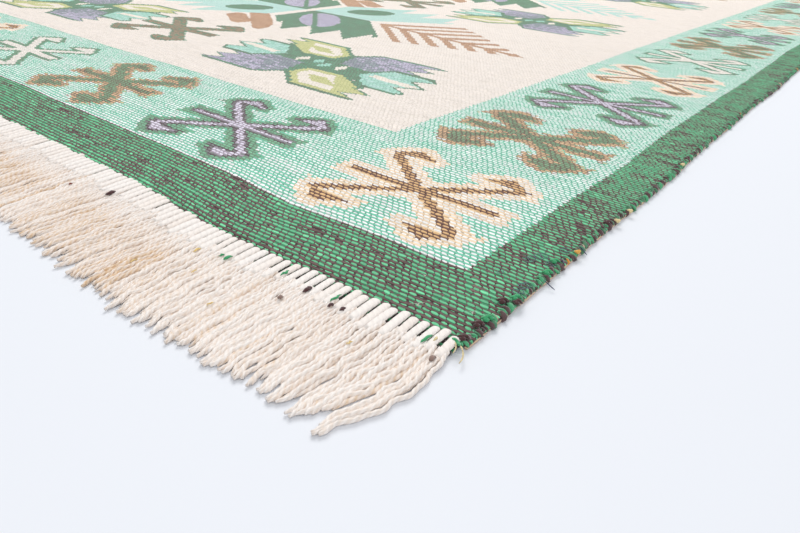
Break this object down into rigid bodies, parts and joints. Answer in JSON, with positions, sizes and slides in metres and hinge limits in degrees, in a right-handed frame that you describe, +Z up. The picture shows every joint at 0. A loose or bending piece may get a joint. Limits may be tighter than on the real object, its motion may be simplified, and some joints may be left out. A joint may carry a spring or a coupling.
{
  "type": "kilim rug",
  "caption": "Flat-woven kilim rug in green, mint and cream with a hooked-motif border and a loose cream warp fringe at each end.",
  "frame": {"origin": "middle of the rug, on the floor under it", "axes": "+Y along the rug's length, +X across it, +Z up out of its face"},
  "size_m": [1.2056, 2.1488, 0.003],
  "materials": {
    "woven_cloth": "weft-faced wool flat weave, matte",
    "fringe_near_yarn": "loose two-ply cream yarn, matte",
    "fringe_far_yarn": "loose two-ply cream yarn, matte"
  },
  "bodies": {
    "root": {"kilim_cloth": "woven_cloth", "fringe_near": "fringe_near_yarn", "fringe_far": "fringe_far_yarn"}
  },
  "joints": []
}
